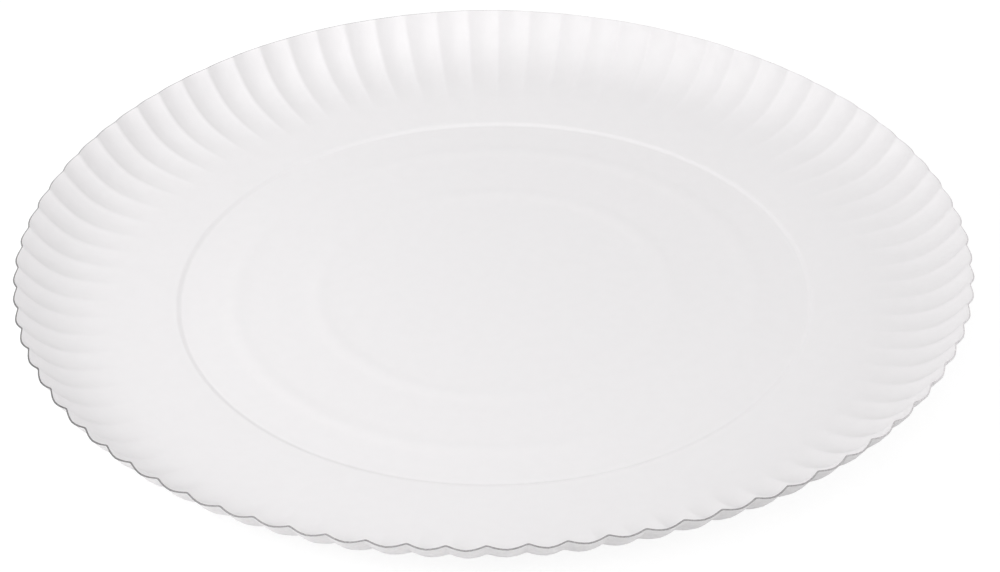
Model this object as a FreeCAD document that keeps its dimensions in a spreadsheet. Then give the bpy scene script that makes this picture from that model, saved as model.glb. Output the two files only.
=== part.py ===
import FreeCAD, Part
import Sketcher
import math
import os

from FreeCAD import Rotation, Vector

# A round cardboard food tray, pressed from one disc of white board. From the centre outwards it has the
# flat base that it stands on, with two low stiffening beads, a small step up to a plain apron that rises
# gently, and a flared rim pressed into radial flutes. The flutes' rounded lobes meet in sharp creases and
# end in a scalloped cut edge. +Z is up, and the origin is the centre of the tray on the surface that it
# stands on.

doc = FreeCAD.newDocument("food_tray")

# ----------------------------------------------------------------------------------------------------
# Driving dimensions, in millimetres and degrees
# ----------------------------------------------------------------------------------------------------

SIZES = [
    ("tray_diameter", 300.0, "across the lobes' crests, on the upper face of the edge"),
    ("tray_height", 18.5, "from the floor up to the creases' ends at the edge"),
    ("board_thickness", 0.5, "of the pressed board"),
    ("flute_count", 84, "lobes round the rim"),
    ("flute_reach", 1.1, "how far the crests stand out past the creases at the edge, in plan"),
    ("flute_fullness", 0.7, "how early a flute deepens along the flare: 0.5 evenly, 1 soonest"),
    ("flare_width", 27.0, "plan width of the fluted flare, up to the creases' ends"),
    ("apron_width", 20.5, "plan width of the plain slope inside the flutes"),
    ("apron_angle", 5.5, "slope of the apron"),
    ("step_width", 2.0, "plan width of the step from the base up to the apron"),
    ("step_height", 0.8, "how far the apron starts above the base"),
    ("outer_bead_inset", 16.5, "from the base's edge to the outer bead's centre line"),
    ("bead_spacing", 27.0, "between the two beads' centre lines"),
    ("bead_width", 8.0, "of each bead"),
    ("bead_height", 0.3, "of each bead above the base"),
]

sheet = doc.addObject("Spreadsheet::Sheet", "Sizes")
for row, (alias, value, meaning) in enumerate(SIZES, start=1):
    sheet.set(f"A{row}", meaning)
    sheet.set(f"B{row}", str(value))
    sheet.setAlias(f"B{row}", alias)
doc.recompute()


def measure(expression):
    """The value of an expression in the sheet's sizes."""
    return float(sheet.evalExpression(expression))


# ----------------------------------------------------------------------------------------------------
# Base: the board's half section, from the axis to the foot of the flare, turned about the axis
# ----------------------------------------------------------------------------------------------------

# radii of the section's corners, worked inwards from the edge
FLARE_FOOT = "Sizes.tray_diameter / 2 - Sizes.flute_reach - Sizes.flare_width"
APRON_FOOT = FLARE_FOOT + " - Sizes.apron_width"
BASE_EDGE = APRON_FOOT + " - Sizes.step_width"
OUTER_BEAD = BASE_EDGE + " - Sizes.outer_bead_inset"
INNER_BEAD = OUTER_BEAD + " - Sizes.bead_spacing"

# heights of the board's upper face
BASE_TOP = "Sizes.board_thickness"
STEP_TOP = BASE_TOP + " + Sizes.step_height"
APRON_TOP = STEP_TOP + " + Sizes.apron_width * tan(Sizes.apron_angle * 1 deg)"

# from the apron's upper face to its underside, square to the board
SQUARE_OUT = " + Sizes.board_thickness * sin(Sizes.apron_angle * 1 deg)"
SQUARE_DOWN = " - Sizes.board_thickness * cos(Sizes.apron_angle * 1 deg)"

FLOOR = "0"
CENTRE = "0"


def bead(radius, height):
    """A bead's three corners on one face of the board, from its outer side to its inner side."""
    outer = (radius + " + Sizes.bead_width / 2", height)
    crown = (radius, height + " + Sizes.bead_height")
    inner = (radius + " - Sizes.bead_width / 2", height)
    return [outer, crown, inner]


# (radius, height) of each corner, inwards along the upper face and back along the underside
CORNERS = [
    (FLARE_FOOT, APRON_TOP),
    (APRON_FOOT, STEP_TOP),
    (BASE_EDGE, BASE_TOP),
    *bead(OUTER_BEAD, BASE_TOP),
    *bead(INNER_BEAD, BASE_TOP),
    (CENTRE, BASE_TOP),
    (CENTRE, FLOOR),
    *reversed(bead(INNER_BEAD, FLOOR)),
    *reversed(bead(OUTER_BEAD, FLOOR)),
    (BASE_EDGE, FLOOR),
    (APRON_FOOT + SQUARE_OUT, STEP_TOP + SQUARE_DOWN),
    (FLARE_FOOT + SQUARE_OUT, APRON_TOP + SQUARE_DOWN),
]

ENDS = {"start": 1, "end": 2}  # of a sketch's edge
AXES = {"level": -1, "upright": -2}  # the sketch's own, and the level one starts at its origin


def tie(sketch, kind, side, axis, expression):
    """Set one coordinate of the corner where a side starts: on an axis, or by an expression."""
    corner = (side, ENDS["start"])
    if expression in (CENTRE, FLOOR):
        sketch.addConstraint(Sketcher.Constraint("PointOnObject", *corner, AXES[axis]))
        return
    origin = (AXES["level"], ENDS["start"])
    index = sketch.addConstraint(Sketcher.Constraint(kind, *origin, *corner, measure(expression)))
    sketch.setExpression(f"Constraints[{index}]", expression)


def draw_section(sketch):
    """Draw the closed section, join its sides end to end and tie each corner to the sheet."""
    points = [Vector(measure(radius), measure(height), 0) for radius, height in CORNERS]
    for start, end in zip(points, points[1:] + points[:1]):
        sketch.addGeometry(Part.LineSegment(start, end), False)
    for side, (radius, height) in enumerate(CORNERS):
        before = ((side - 1) % len(CORNERS), ENDS["end"])
        sketch.addConstraint(Sketcher.Constraint("Coincident", *before, side, ENDS["start"]))
        tie(sketch, "DistanceX", side, "upright", radius)
        tie(sketch, "DistanceY", side, "level", height)


base = doc.addObject("PartDesign::Body", "Base")
section = base.newObject("Sketcher::SketchObject", "BaseSection")
upright_plane = next(item for item in base.Origin.OriginFeatures if item.Role == "XZ_Plane")
section.AttachmentSupport = (upright_plane, [""])
section.MapMode = "FlatFace"
draw_section(section)
turned = base.newObject("PartDesign::Revolution", "TurnedBase")
turned.Profile = section
turned.ReferenceAxis = (section, ["V_Axis"])
turned.Angle = 360
doc.recompute()

# ----------------------------------------------------------------------------------------------------
# Flare: one flute of the rim, skinned between arcs, repeated round the axis and closed as one solid
# ----------------------------------------------------------------------------------------------------

# along the flare, each flute is skinned in this many bands
FLARE_BANDS = 4


def flare_curve():
    """The creases' path: radius of an arc that leaves the apron as a tangent, and its end slopes."""
    foot_slope = math.radians(measure("Sizes.apron_angle"))
    width = measure("Sizes.flare_width")
    rise = measure("Sizes.tray_height") - measure(APRON_TOP)
    chord_slope = math.atan2(rise, width)
    edge_slope = 2 * chord_slope - foot_slope
    arc_radius = math.hypot(width, rise) / (2 * math.sin(chord_slope - foot_slope))
    return arc_radius, foot_slope, edge_slope


def flute_arcs(below):
    """A flute's arcs from crease to crease, foot first, at a distance below the upper face."""
    arc_radius, foot_slope, edge_slope = flare_curve()
    half_pitch = math.pi / measure("Sizes.flute_count")
    edge_depth = measure("Sizes.flute_reach") / math.sin(edge_slope)
    fullness = measure("Sizes.flute_fullness")
    arcs = []
    for station in range(FLARE_BANDS + 1):
        along = station / FLARE_BANDS
        slope = foot_slope + along * (edge_slope - foot_slope)
        outwards = Vector(math.sin(slope), 0, -math.cos(slope))
        radius = measure(FLARE_FOOT) + arc_radius * (math.sin(slope) - math.sin(foot_slope))
        height = measure(APRON_TOP) + arc_radius * (math.cos(foot_slope) - math.cos(slope))
        depth = edge_depth * (2 * fullness * along * (1 - along) + along**2)
        crease = Vector(radius, 0, height) + outwards * below
        left = Rotation(Vector(0, 0, 1), Radian=-half_pitch).multVec(crease)
        right = Rotation(Vector(0, 0, 1), Radian=half_pitch).multVec(crease)
        arcs.append(Part.Arc(left, crease + outwards * depth, right))
    # the flattest arc takes fewer facets as a spline
    arcs[0] = arcs[0].toBSpline()
    return [arc.toShape() for arc in arcs]


def fluted_flare():
    """The whole fluted rim as one closed solid."""
    upper = flute_arcs(0)
    lower = flute_arcs(measure("Sizes.board_thickness"))
    flute = [Part.makeRuledSurface(*pair) for side in (upper, lower) for pair in zip(side, side[1:])]
    flute.append(Part.makeRuledSurface(upper[0], lower[0]))
    flute.append(Part.makeRuledSurface(upper[-1], lower[-1]))
    count = round(measure("Sizes.flute_count"))
    faces = []
    for turn in range(count):
        for face in flute:
            copy = face.copy()
            copy.rotate(Vector(0, 0, 0), Vector(0, 0, 1), 360 * turn / count)
            faces.append(copy)
    skin = Part.makeCompound(faces)
    skin.sewShape()
    solid = Part.makeSolid(skin.Shells[0])
    if solid.Volume < 0:
        solid.reverse()
    return solid


flare = doc.addObject("Part::Feature", "Flare")
flare.Shape = fluted_flare()

tray = doc.addObject("Part::Fuse", "Tray")
tray.Label = "tray"
tray.Base = flare
tray.Tool = base
tray.Refine = False
doc.recompute()

# ----------------------------------------------------------------------------------------------------
# Check and export
# ----------------------------------------------------------------------------------------------------

for item in doc.Objects:
    if "Invalid" in item.State or "Error" in item.State:
        raise RuntimeError(f"{item.Label} did not rebuild: {item.State}")
if tray.Shape.isNull() or not tray.Shape.isValid() or len(tray.Shape.Solids) != 1:
    raise RuntimeError(f"{tray.Label} is not one valid solid")

os.makedirs("parts", exist_ok=True)
tray.Shape.exportStep(f"parts/{tray.Label}.step")
box = tray.Shape.optimalBoundingBox()
print(f"{tray.Label}: {box.XLength:.2f} x {box.YLength:.2f} x {box.ZLength:.2f} mm, "
      f"{tray.Shape.Volume / 1000:.2f} cm3, {len(tray.Shape.Faces)} faces")
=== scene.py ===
import math

import bpy
from mathutils import Matrix, Vector


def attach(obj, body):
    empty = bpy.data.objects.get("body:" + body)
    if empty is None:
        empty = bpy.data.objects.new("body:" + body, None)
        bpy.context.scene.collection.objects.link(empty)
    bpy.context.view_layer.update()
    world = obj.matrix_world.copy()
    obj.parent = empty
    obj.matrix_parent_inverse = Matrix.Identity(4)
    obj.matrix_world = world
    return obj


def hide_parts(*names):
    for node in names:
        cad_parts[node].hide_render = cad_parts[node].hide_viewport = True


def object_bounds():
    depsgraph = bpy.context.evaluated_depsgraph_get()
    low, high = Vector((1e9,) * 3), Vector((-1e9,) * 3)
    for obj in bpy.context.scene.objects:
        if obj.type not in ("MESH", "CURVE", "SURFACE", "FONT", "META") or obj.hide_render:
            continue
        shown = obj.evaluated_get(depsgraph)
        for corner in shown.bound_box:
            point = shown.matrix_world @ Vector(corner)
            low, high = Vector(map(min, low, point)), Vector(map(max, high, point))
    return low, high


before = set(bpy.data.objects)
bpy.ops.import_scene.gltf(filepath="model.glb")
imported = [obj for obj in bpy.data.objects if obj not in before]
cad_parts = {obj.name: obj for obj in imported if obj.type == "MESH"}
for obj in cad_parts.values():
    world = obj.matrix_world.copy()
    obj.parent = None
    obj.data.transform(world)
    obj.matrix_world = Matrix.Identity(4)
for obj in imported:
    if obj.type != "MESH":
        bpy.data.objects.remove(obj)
cad_low, cad_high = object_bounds()

# ---------------------------------------------------------------------------------------------------
# Food tray
# One disc of white-lined grey board, pressed hot between two dies in a single stroke. It has a flat
# base with two low beads, a step up to a plain apron and a fluted flare. The lining is coated white,
# the back is plain grey, and the die-cut edge shows the dark core of the board.
# ---------------------------------------------------------------------------------------------------

BOARD = 0.0005
FLUTES = 84
CREASE_RADIUS = cad_high.x - 0.00175  # at the edge
RIM_HEIGHT = cad_high.z - 0.00055  # of the edge on average; the warp takes it higher on two sides
FLARE_WIDTH, FLARE_CURVE = 0.03, 3.8  # the higher the curve, the later and the steeper it turns up
APRON_WIDTH, APRON_ANGLE = 0.0175, math.radians(5.5)
STEP_WIDTH, STEP_HEIGHT = 0.002, 0.0007
BEAD_RADII, BEAD_WIDTH, BEAD_HEIGHT = (0.0562, 0.0829), 0.009, 0.0003
EDGE_ROUND = 0.00005
FLUTE_LEAD = 0.0035  # how far before the flare the first flutes start
BEAD_REACH, STEP_REACH = BEAD_WIDTH * 2 / 3, 0.0005  # how far the close rows go past a bead and a step

flare_start = CREASE_RADIUS - FLARE_WIDTH
apron_start = flare_start - APRON_WIDTH
base_radius = apron_start - STEP_WIDTH
flare_foot = BOARD + STEP_HEIGHT + APRON_WIDTH * math.tan(APRON_ANGLE)
flare_lift = RIM_HEIGHT - flare_foot - FLARE_WIDTH * math.tan(APRON_ANGLE)


def ease(share):
    """A smooth rise from 0 to 1."""
    share = min(max(share, 0), 1)
    return share * share * (3 - 2 * share)


def face_height(radius):
    """Height of the lining along a crease."""
    if radius < apron_start:
        swells = [1 - ease(abs(radius - bead) / (BEAD_WIDTH / 2)) for bead in BEAD_RADII]
        step = STEP_HEIGHT * ease((radius - base_radius) / STEP_WIDTH)
        return BOARD + step + BEAD_HEIGHT * sum(swells)
    slope = BOARD + STEP_HEIGHT + (radius - apron_start) * math.tan(APRON_ANGLE)
    return slope + flare_lift * max((radius - flare_start) / FLARE_WIDTH, 0) ** FLARE_CURVE


def face_slope(radius):
    """Slope of the lining along a crease, from two points close together."""
    inner, outer = max(radius - 1e-5, 0), min(radius + 1e-5, CREASE_RADIUS)
    return math.atan2(face_height(outer) - face_height(inner), outer - inner)


# (radius out to which a zone goes, rows in it on the lining, rows in it on the back)
ZONES = [
    (BEAD_RADII[0] - BEAD_REACH, 2, 1),
    (BEAD_RADII[0] + BEAD_REACH, 8, 5),
    (BEAD_RADII[1] - BEAD_REACH, 1, 1),
    (BEAD_RADII[1] + BEAD_REACH, 8, 5),
    (base_radius - STEP_REACH, 1, 1),
    (apron_start + STEP_REACH, 9, 6),
    (flare_start - FLUTE_LEAD, 2, 1),
    (CREASE_RADIUS - EDGE_ROUND, 22, 14),
]


def row_radii(side):
    """Radii of the rows on the lining, side 0, or on the back, side 1."""
    radii = [0]
    for end, *rows in ZONES:
        start = radii[-1]
        radii += [start + (end - start) * row / rows[side] for row in range(1, rows[side] + 1)]
    return radii


# the section's rows as (radius, share of the way through the board): out along the lining, then back
lining_rows = [(radius, 0) for radius in row_radii(0)]
edge_rows = [(CREASE_RADIUS, EDGE_ROUND / BOARD), (CREASE_RADIUS, 1 - EDGE_ROUND / BOARD)]
back_rows = [(radius, 1) for radius in reversed(row_radii(1))]
section_rows = lining_rows + edge_rows + back_rows

section = bpy.data.meshes.new("tray_section")
section.from_pydata([(radius, 0, face_height(radius)) for radius, _ in section_rows], [], [])
slopes = [face_slope(radius) for radius, _ in section_rows]
downwards = [part for slope in slopes for part in (math.sin(slope), 0, -math.cos(slope))]
section.attributes.new("downwards", "FLOAT_VECTOR", "POINT").data.foreach_set("vector", downwards)
through = [share for _, share in section_rows]
section.attributes.new("through", "FLOAT", "POINT").data.foreach_set("value", through)
tray = bpy.data.objects.new("food_tray", section)
bpy.context.scene.collection.objects.link(tray)


def board_material(name, colours, roughness, cloud_scale, grain_relief):
    """Board mottled between two colours by its fibres, with a fine grain in relief."""
    material = bpy.data.materials.new(name)
    material.use_nodes = True
    nodes, links = material.node_tree.nodes, material.node_tree.links
    shader = nodes["Principled BSDF"]
    shader.inputs["Roughness"].default_value = roughness
    place = nodes.new("ShaderNodeTexCoord").outputs["Object"]

    clouds = nodes.new("ShaderNodeTexNoise")
    clouds.inputs["Scale"].default_value = cloud_scale
    clouds.inputs["Detail"].default_value = 8
    clouds.inputs["Roughness"].default_value = 0.62
    links.new(place, clouds.inputs["Vector"])
    tone = nodes.new("ShaderNodeValToRGB")
    tone.color_ramp.elements[0].position = 0.35
    tone.color_ramp.elements[1].position = 0.65
    tone.color_ramp.elements[0].color = (*colours[0], 1)
    tone.color_ramp.elements[1].color = (*colours[1], 1)
    links.new(clouds.outputs["Fac"], tone.inputs["Fac"])
    links.new(tone.outputs["Color"], shader.inputs["Base Color"])

    grain = nodes.new("ShaderNodeTexNoise")
    grain.inputs["Scale"].default_value = 1400
    grain.inputs["Detail"].default_value = 3
    links.new(place, grain.inputs["Vector"])
    relief = nodes.new("ShaderNodeBump")
    relief.inputs["Strength"].default_value = 1
    relief.inputs["Distance"].default_value = grain_relief
    links.new(grain.outputs["Fac"], relief.inputs["Height"])
    links.new(relief.outputs["Normal"], shader.inputs["Normal"])
    return material


lining = board_material("white_lining", ((0.852, 0.837, 0.845), (0.862, 0.847, 0.855)), 0.45, 250, 0.00001)
back = board_material("grey_back", ((0.8, 0.785, 0.792), (0.86, 0.845, 0.852)), 0.75, 900, 0.00003)
core = board_material("grey_core", ((0.68, 0.66, 0.668), (1, 0.975, 0.985)), 0.9, 1800, 0.00005)


def paint_light_and_shade_across(material, azimuth, stops):
    """Paint light and shade into a material's colour: multiply it by greys that change from one side of
    the tray to the other.

    The azimuth is that of the last grey. Those between the first and the last come with their places.
    """
    nodes, links = material.node_tree.nodes, material.node_tree.links
    colour = nodes["Principled BSDF"].inputs["Base Color"]
    across = nodes.new("ShaderNodeVectorMath")
    across.operation = "DOT_PRODUCT"
    per_metre = 0.5 / cad_high.x
    across.inputs[1].default_value = (per_metre * math.cos(azimuth), per_metre * math.sin(azimuth), 0)
    links.new(nodes["Texture Coordinate"].outputs["Object"], across.inputs[0])
    middle = nodes.new("ShaderNodeMath")
    middle.operation = "ADD"
    middle.inputs[1].default_value = 0.5
    links.new(across.outputs["Value"], middle.inputs[0])
    greys = nodes.new("ShaderNodeValToRGB")
    first_grey, *between, last_grey = stops
    greys.color_ramp.elements[0].color = (first_grey, first_grey, first_grey, 1)
    greys.color_ramp.elements[1].color = (last_grey, last_grey, last_grey, 1)
    for position, grey in between:
        greys.color_ramp.elements.new(position).color = (grey, grey, grey, 1)
    links.new(middle.outputs["Value"], greys.inputs["Fac"])
    product = nodes.new("ShaderNodeMix")
    product.data_type, product.blend_type = "RGBA", "MULTIPLY"
    share, own, shade = [socket for socket in product.inputs if socket.enabled]
    share.default_value = 1
    links.new(colour.links[0].from_socket, own)
    links.new(greys.outputs["Color"], shade)
    links.new(next(socket for socket in product.outputs if socket.enabled), colour)


# painted light and shade on the cut: it is painted darker on the left and lighter on the right
paint_light_and_shade_across(core, math.radians(22), (0.2, (0.12, 0.42), (0.58, 0.42), (0.8, 0.85), 0.85))
# painted shade on the back: darker towards the right, and a little towards the far left
paint_light_and_shade_across(back, math.radians(-20), (0.88, (0.35, 1), (0.6, 1), 0.84))

tree = bpy.data.node_groups.new("pressed_tray", "GeometryNodeTree")
tree.interface.new_socket("Section", in_out="INPUT", socket_type="NodeSocketGeometry")
tree.interface.new_socket("Tray", in_out="OUTPUT", socket_type="NodeSocketGeometry")
SETTINGS = {
    "Board": BOARD,
    "Flutes": FLUTES,
    "Flute Columns": 12,
    "Column Crowding": 0.6,
    "Flute Depth": 0.00135,
    "Depth Spread": 0.08,
    "Flute Start": flare_start - FLUTE_LEAD,
    "Start Spread": 0.002,
    "Late Start": 0.012,
    "Late Start Azimuth": math.radians(265),
    "Full Flute": CREASE_RADIUS - 0.0035,
    "Crease Rounding": 0.1,
    "Crease Wander": 0.03,
    "Edge Wander": 0.00012,
    "Warp": 0.0010,
    "Warp Azimuth": math.radians(111.4),
    "Off Centre": 0.0003,
    "Off Centre Azimuth": math.radians(188),
    "Oval": 0.00018,
    "Oval Azimuth": math.radians(50),
    "Three Bulges": 0.0005,
    "Three Bulges Azimuth": math.radians(101),
    "Five Bulges": 0.00025,
    "Five Bulges Azimuth": math.radians(26),
    "Untrue From": base_radius,
    "Untrue To": CREASE_RADIUS,
    "Seed": 5,
}
identifiers = {}
for name, value in SETTINGS.items():
    kind = "NodeSocketInt" if isinstance(value, int) else "NodeSocketFloat"
    identifiers[name] = tree.interface.new_socket(name, in_out="INPUT", socket_type=kind).identifier
given = tree.nodes.new("NodeGroupInput").outputs


def node(kind, *inputs, **settings):
    """Add a node with its settings, and fill its inputs in order with sockets or plain values."""
    made = tree.nodes.new(kind)
    for name, value in settings.items():
        setattr(made, name, value)
    open_inputs = [socket for socket in made.inputs if socket.enabled]
    for socket, value in zip(open_inputs, inputs):
        if isinstance(value, bpy.types.NodeSocket):
            tree.links.new(value, socket)
        elif value is not None:
            socket.default_value = value
    return next(socket for socket in made.outputs if socket.enabled)


def number(operation, *values):
    """Arithmetic on numbers with a fraction."""
    return node("ShaderNodeMath", *values, operation=operation)


def whole(operation, *values):
    """Arithmetic on whole numbers."""
    return node("FunctionNodeIntegerMath", *values, operation=operation)


def attribute(name, kind="FLOAT"):
    """What the section, or the pressed net, holds under this name."""
    return node("GeometryNodeInputNamedAttribute", name, data_type=kind)


# a flat net with a row for each point of the section and a column for each turn round the axis
columns = whole("ADD", whole("MULTIPLY", given["Flutes"], given["Flute Columns"]), 1)
points = node("GeometryNodeAttributeDomainSize", given["Section"])
net = node("GeometryNodeMeshGrid", 1.0, 1.0, points, columns)
index = node("GeometryNodeInputIndex")
row, column = whole("DIVIDE_FLOOR", index, columns), whole("MODULO", index, columns)


def of_section(value, kind="FLOAT"):
    """A value of the section's point that a row of the net belongs to."""
    return node("GeometryNodeSampleIndex", given["Section"], value, row, data_type=kind)


place = of_section(node("GeometryNodeInputPosition"), "FLOAT_VECTOR")
downwards_there = of_section(attribute("downwards", "FLOAT_VECTOR"), "FLOAT_VECTOR")
through_there = of_section(attribute("through"))
radius = node("ShaderNodeSeparateXYZ", place)

# a column's flute, and its place across that flute; the columns crowd towards the creases
flute = whole("DIVIDE_FLOOR", column, given["Flute Columns"])
even = number("DIVIDE", whole("MODULO", column, given["Flute Columns"]), given["Flute Columns"])
swing = number("SINE", number("MULTIPLY", even, math.tau))
crowding = number("DIVIDE", given["Column Crowding"], math.tau)
across = number("SUBTRACT", even, number("MULTIPLY", swing, crowding))
this_crease = whole("MODULO", flute, given["Flutes"])
next_crease = whole("MODULO", whole("ADD", flute, 1), given["Flutes"])


def spread(size, which, seed_step):
    """A random value, within a size each way, for one flute or crease."""
    seed = whole("ADD", given["Seed"], seed_step)
    chance = node("FunctionNodeRandomValue", -1.0, 1.0, which, seed, data_type="FLOAT")
    return number("MULTIPLY", chance, given[size])


def wander(size, seed_step):
    """A random value at each crease, and a straight run between them."""
    start = spread(size, this_crease, seed_step)
    end = spread(size, next_crease, seed_step)
    return number("MULTIPLY_ADD", number("SUBTRACT", end, start), across, start)


# the azimuth of each column, in creases that wander a little as they do on a real tray
turns = number("ADD", number("ADD", flute, across), number("ADD", wander("Crease Wander", 3), 0.5))
azimuth = number("DIVIDE", number("MULTIPLY", turns, math.tau), given["Flutes"])


def wave(name, times):
    """From 1 to -1 and back so many times on the way round the tray, starting at its own azimuth."""
    angle = number("SUBTRACT", azimuth, given[name + " Azimuth"])
    return number("COSINE", number("MULTIPLY", angle, float(times)))


def swell(name, times):
    """The same wave at its own size."""
    return number("MULTIPLY", wave(name, times), given[name])


# across a flute, the lobe is a shallow arc between two narrowly rounded creases
from_crease = number("SUBTRACT", 1.0, number("ABSOLUTE", number("MULTIPLY_ADD", across, 2.0, -1.0)))
squares = number("ADD", number("POWER", from_crease, 2.0), number("POWER", given["Crease Rounding"], 2.0))
eased = number("SUBTRACT", number("SQRT", squares), given["Crease Rounding"])
lobe = number("MULTIPLY", eased, number("SUBTRACT", 2.0, eased))

# it deepens outwards, and on one side of the tray it starts later
lateness = number("POWER", number("MULTIPLY_ADD", wave("Late Start", 1), 0.5, 0.5), 2.0)
start = number("ADD", given["Flute Start"], spread("Start Spread", this_crease, 1))
start = number("MULTIPLY_ADD", lateness, given["Late Start"], start)
rising = node("ShaderNodeMapRange", radius, start, given["Full Flute"], 0.0, 1.0)
fullness = number("ADD", 1.0, spread("Depth Spread", this_crease, 2))
depth = number("MULTIPLY", number("MULTIPLY", given["Flute Depth"], fullness), rising)
below = number("MULTIPLY_ADD", through_there, given["Board"], number("MULTIPLY", depth, lobe))
stretch = node("ShaderNodeCombineXYZ", below, below, below)
sunk = node("ShaderNodeVectorMath", downwards_there, stretch, place, operation="MULTIPLY_ADD")

# the rim dried a little out of true: two opposite sides stand higher, and it isn't quite round
out_of_level = number("ADD", swell("Warp", 2), wander("Edge Wander", 4))
shifted = number("ADD", swell("Off Centre", 1), swell("Oval", 2))
out_of_round = number("ADD", shifted, number("ADD", swell("Three Bulges", 3), swell("Five Bulges", 5)))
untrue = node("ShaderNodeMapRange", radius, given["Untrue From"], given["Untrue To"], 0.0, 1.0)
outwards, upwards = number("MULTIPLY", out_of_round, untrue), number("MULTIPLY", out_of_level, untrue)
bent = node("ShaderNodeVectorMath", sunk, node("ShaderNodeCombineXYZ", outwards, 0.0, upwards),
            operation="ADD")
turned = node("ShaderNodeVectorRotate", bent, None, azimuth, rotation_type="Z_AXIS")

pressed = node("GeometryNodeSetPosition", net, None, turned)
pressed = node("GeometryNodeStoreNamedAttribute", pressed, None, "through", through_there,
               data_type="FLOAT", domain="POINT")
pressed = node("GeometryNodeMergeByDistance", pressed, None, 1e-7)
pressed = node("GeometryNodeSetShadeSmooth", pressed, None, True)
pressed = node("GeometryNodeRealizeInstances", pressed)
pressed = node("GeometryNodeSetMaterial", pressed, None, lining)
on_back = number("GREATER_THAN", attribute("through"), 0.99)
pressed = node("GeometryNodeSetMaterial", pressed, on_back, back)
on_edge = number("COMPARE", attribute("through"), 0.5, 0.48)
pressed = node("GeometryNodeSetMaterial", pressed, on_edge, core)
tree.links.new(pressed, tree.nodes.new("NodeGroupOutput").inputs["Tray"])

pressing = tray.modifiers.new("pressing", "NODES")
pressing.node_group = tree
for name, value in SETTINGS.items():
    pressing[identifiers[name]] = value
evaluated = tray.evaluated_get(bpy.context.evaluated_depsgraph_get())
tray_mesh = bpy.data.meshes.new_from_object(evaluated)
tray.modifiers.remove(pressing)
tray_mesh.materials.pop(index=0)  # the empty slot that the section began with
tray.data = tray_mesh

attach(tray, "root")
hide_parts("tray")

# ---------------------------------------------------------------------------------------------------
# Floor
# A wide sheet of white studio paper, level under the tray. The lens sees it close to pure white, with
# the tray's soft shadow still on it.
# ---------------------------------------------------------------------------------------------------

FLOOR_SIZE = 6
PAPER_GLOW = 0.88  # for the lens and for reflections, so that it doesn't light the tray
floor_mesh = bpy.data.meshes.new("floor")
corners = [(x * FLOOR_SIZE / 2, y * FLOOR_SIZE / 2, 0) for x, y in ((-1, -1), (1, -1), (1, 1), (-1, 1))]
floor_mesh.from_pydata(corners, [], [(0, 1, 2, 3)])
floor = bpy.data.objects.new("floor", floor_mesh)
bpy.context.scene.collection.objects.link(floor)

paper = bpy.data.materials.new("studio_paper")
paper.use_nodes = True
floor_mesh.materials.append(paper)
nodes, links = paper.node_tree.nodes, paper.node_tree.links
shader = nodes["Principled BSDF"]
shader.inputs["Roughness"].default_value = 0.9
shader.inputs["Emission Color"].default_value = (1, 1, 1, 1)
rays = nodes.new("ShaderNodeLightPath").outputs
seen = rays["Is Camera Ray"]
for kind in ("Is Glossy Ray", "Is Transmission Ray"):
    either = nodes.new("ShaderNodeMath")
    either.operation = "MAXIMUM"
    links.new(seen, either.inputs[0])
    links.new(rays[kind], either.inputs[1])
    seen = either.outputs["Value"]
tone = nodes.new("ShaderNodeMix")
tone.data_type = "RGBA"
share, for_light, for_lens = [socket for socket in tone.inputs if socket.enabled]
links.new(seen, share)
for_light.default_value = (0.9, 0.9, 0.9, 1)
for_lens.default_value = (0.15, 0.15, 0.15, 1)
links.new(next(socket for socket in tone.outputs if socket.enabled), shader.inputs["Base Color"])
glow = nodes.new("ShaderNodeMath")
glow.operation = "MULTIPLY"
glow.inputs[1].default_value = PAPER_GLOW
links.new(seen, glow.inputs[0])
links.new(glow.outputs["Value"], shader.inputs["Emission Strength"])

# ---------------------------------------------------------------------------------------------------
# Light and camera
# ---------------------------------------------------------------------------------------------------

world = bpy.data.worlds.new("studio")
bpy.context.scene.world = world
world.use_nodes = True
world.node_tree.nodes["Background"].inputs["Color"].default_value = (1, 1, 1, 1)
world.node_tree.nodes["Background"].inputs["Strength"].default_value = 0.57

# square softboxes: azimuth and elevation seen from the tray in degrees, distance, size, watts
SOFTBOXES = {
    "left_near": (194, 25, 0.6, 0.35, 1.285),
    "front_high": (240, 55, 2.0, 1.2, 8.35),
    "right_low": (330, 30, 2.0, 1.2, 10.1),
    "back_low": (90, 15, 2.0, 1.2, 2.2),
}
for name, (azimuth, elevation, distance, size, watts) in SOFTBOXES.items():
    softbox = bpy.data.objects.new(name, bpy.data.lights.new(name, "AREA"))
    bpy.context.scene.collection.objects.link(softbox)
    softbox.data.size = size
    softbox.data.energy = watts
    softbox.visible_camera = False
    flat, up = math.cos(math.radians(elevation)), math.sin(math.radians(elevation))
    turn = math.radians(azimuth)
    softbox.location = Vector((math.cos(turn) * flat, math.sin(turn) * flat, up)) * distance
    softbox.rotation_euler = (-softbox.location).to_track_quat("-Z", "Y").to_euler()

CAMERA_AZIMUTH, CAMERA_ELEVATION = math.radians(-1.056), math.radians(33.80)
CAMERA_DISTANCE = 0.889  # from the rim's centre
PAN, TILT, ROLL = math.radians(0.116), math.radians(-0.863), math.radians(-0.763)
camera = bpy.data.objects.new("camera", bpy.data.cameras.new("camera"))
bpy.context.scene.collection.objects.link(camera)
bpy.context.scene.camera = camera
camera.data.sensor_width = 36
camera.data.lens = 101.63
camera.data.clip_start, camera.data.clip_end = 0.05, 20
look = Matrix.Rotation(CAMERA_AZIMUTH, 4, "Z") @ Matrix.Rotation(math.pi / 2 - CAMERA_ELEVATION, 4, "X")
aim = Matrix.Rotation(-PAN, 4, "Y") @ Matrix.Rotation(TILT, 4, "X") @ Matrix.Rotation(ROLL, 4, "Z")
rim_centre = Matrix.Translation((0, 0, RIM_HEIGHT))
camera.matrix_world = rim_centre @ look @ Matrix.Translation((0, 0, CAMERA_DISTANCE)) @ aim

bpy.context.scene.view_settings.view_transform = "Standard"
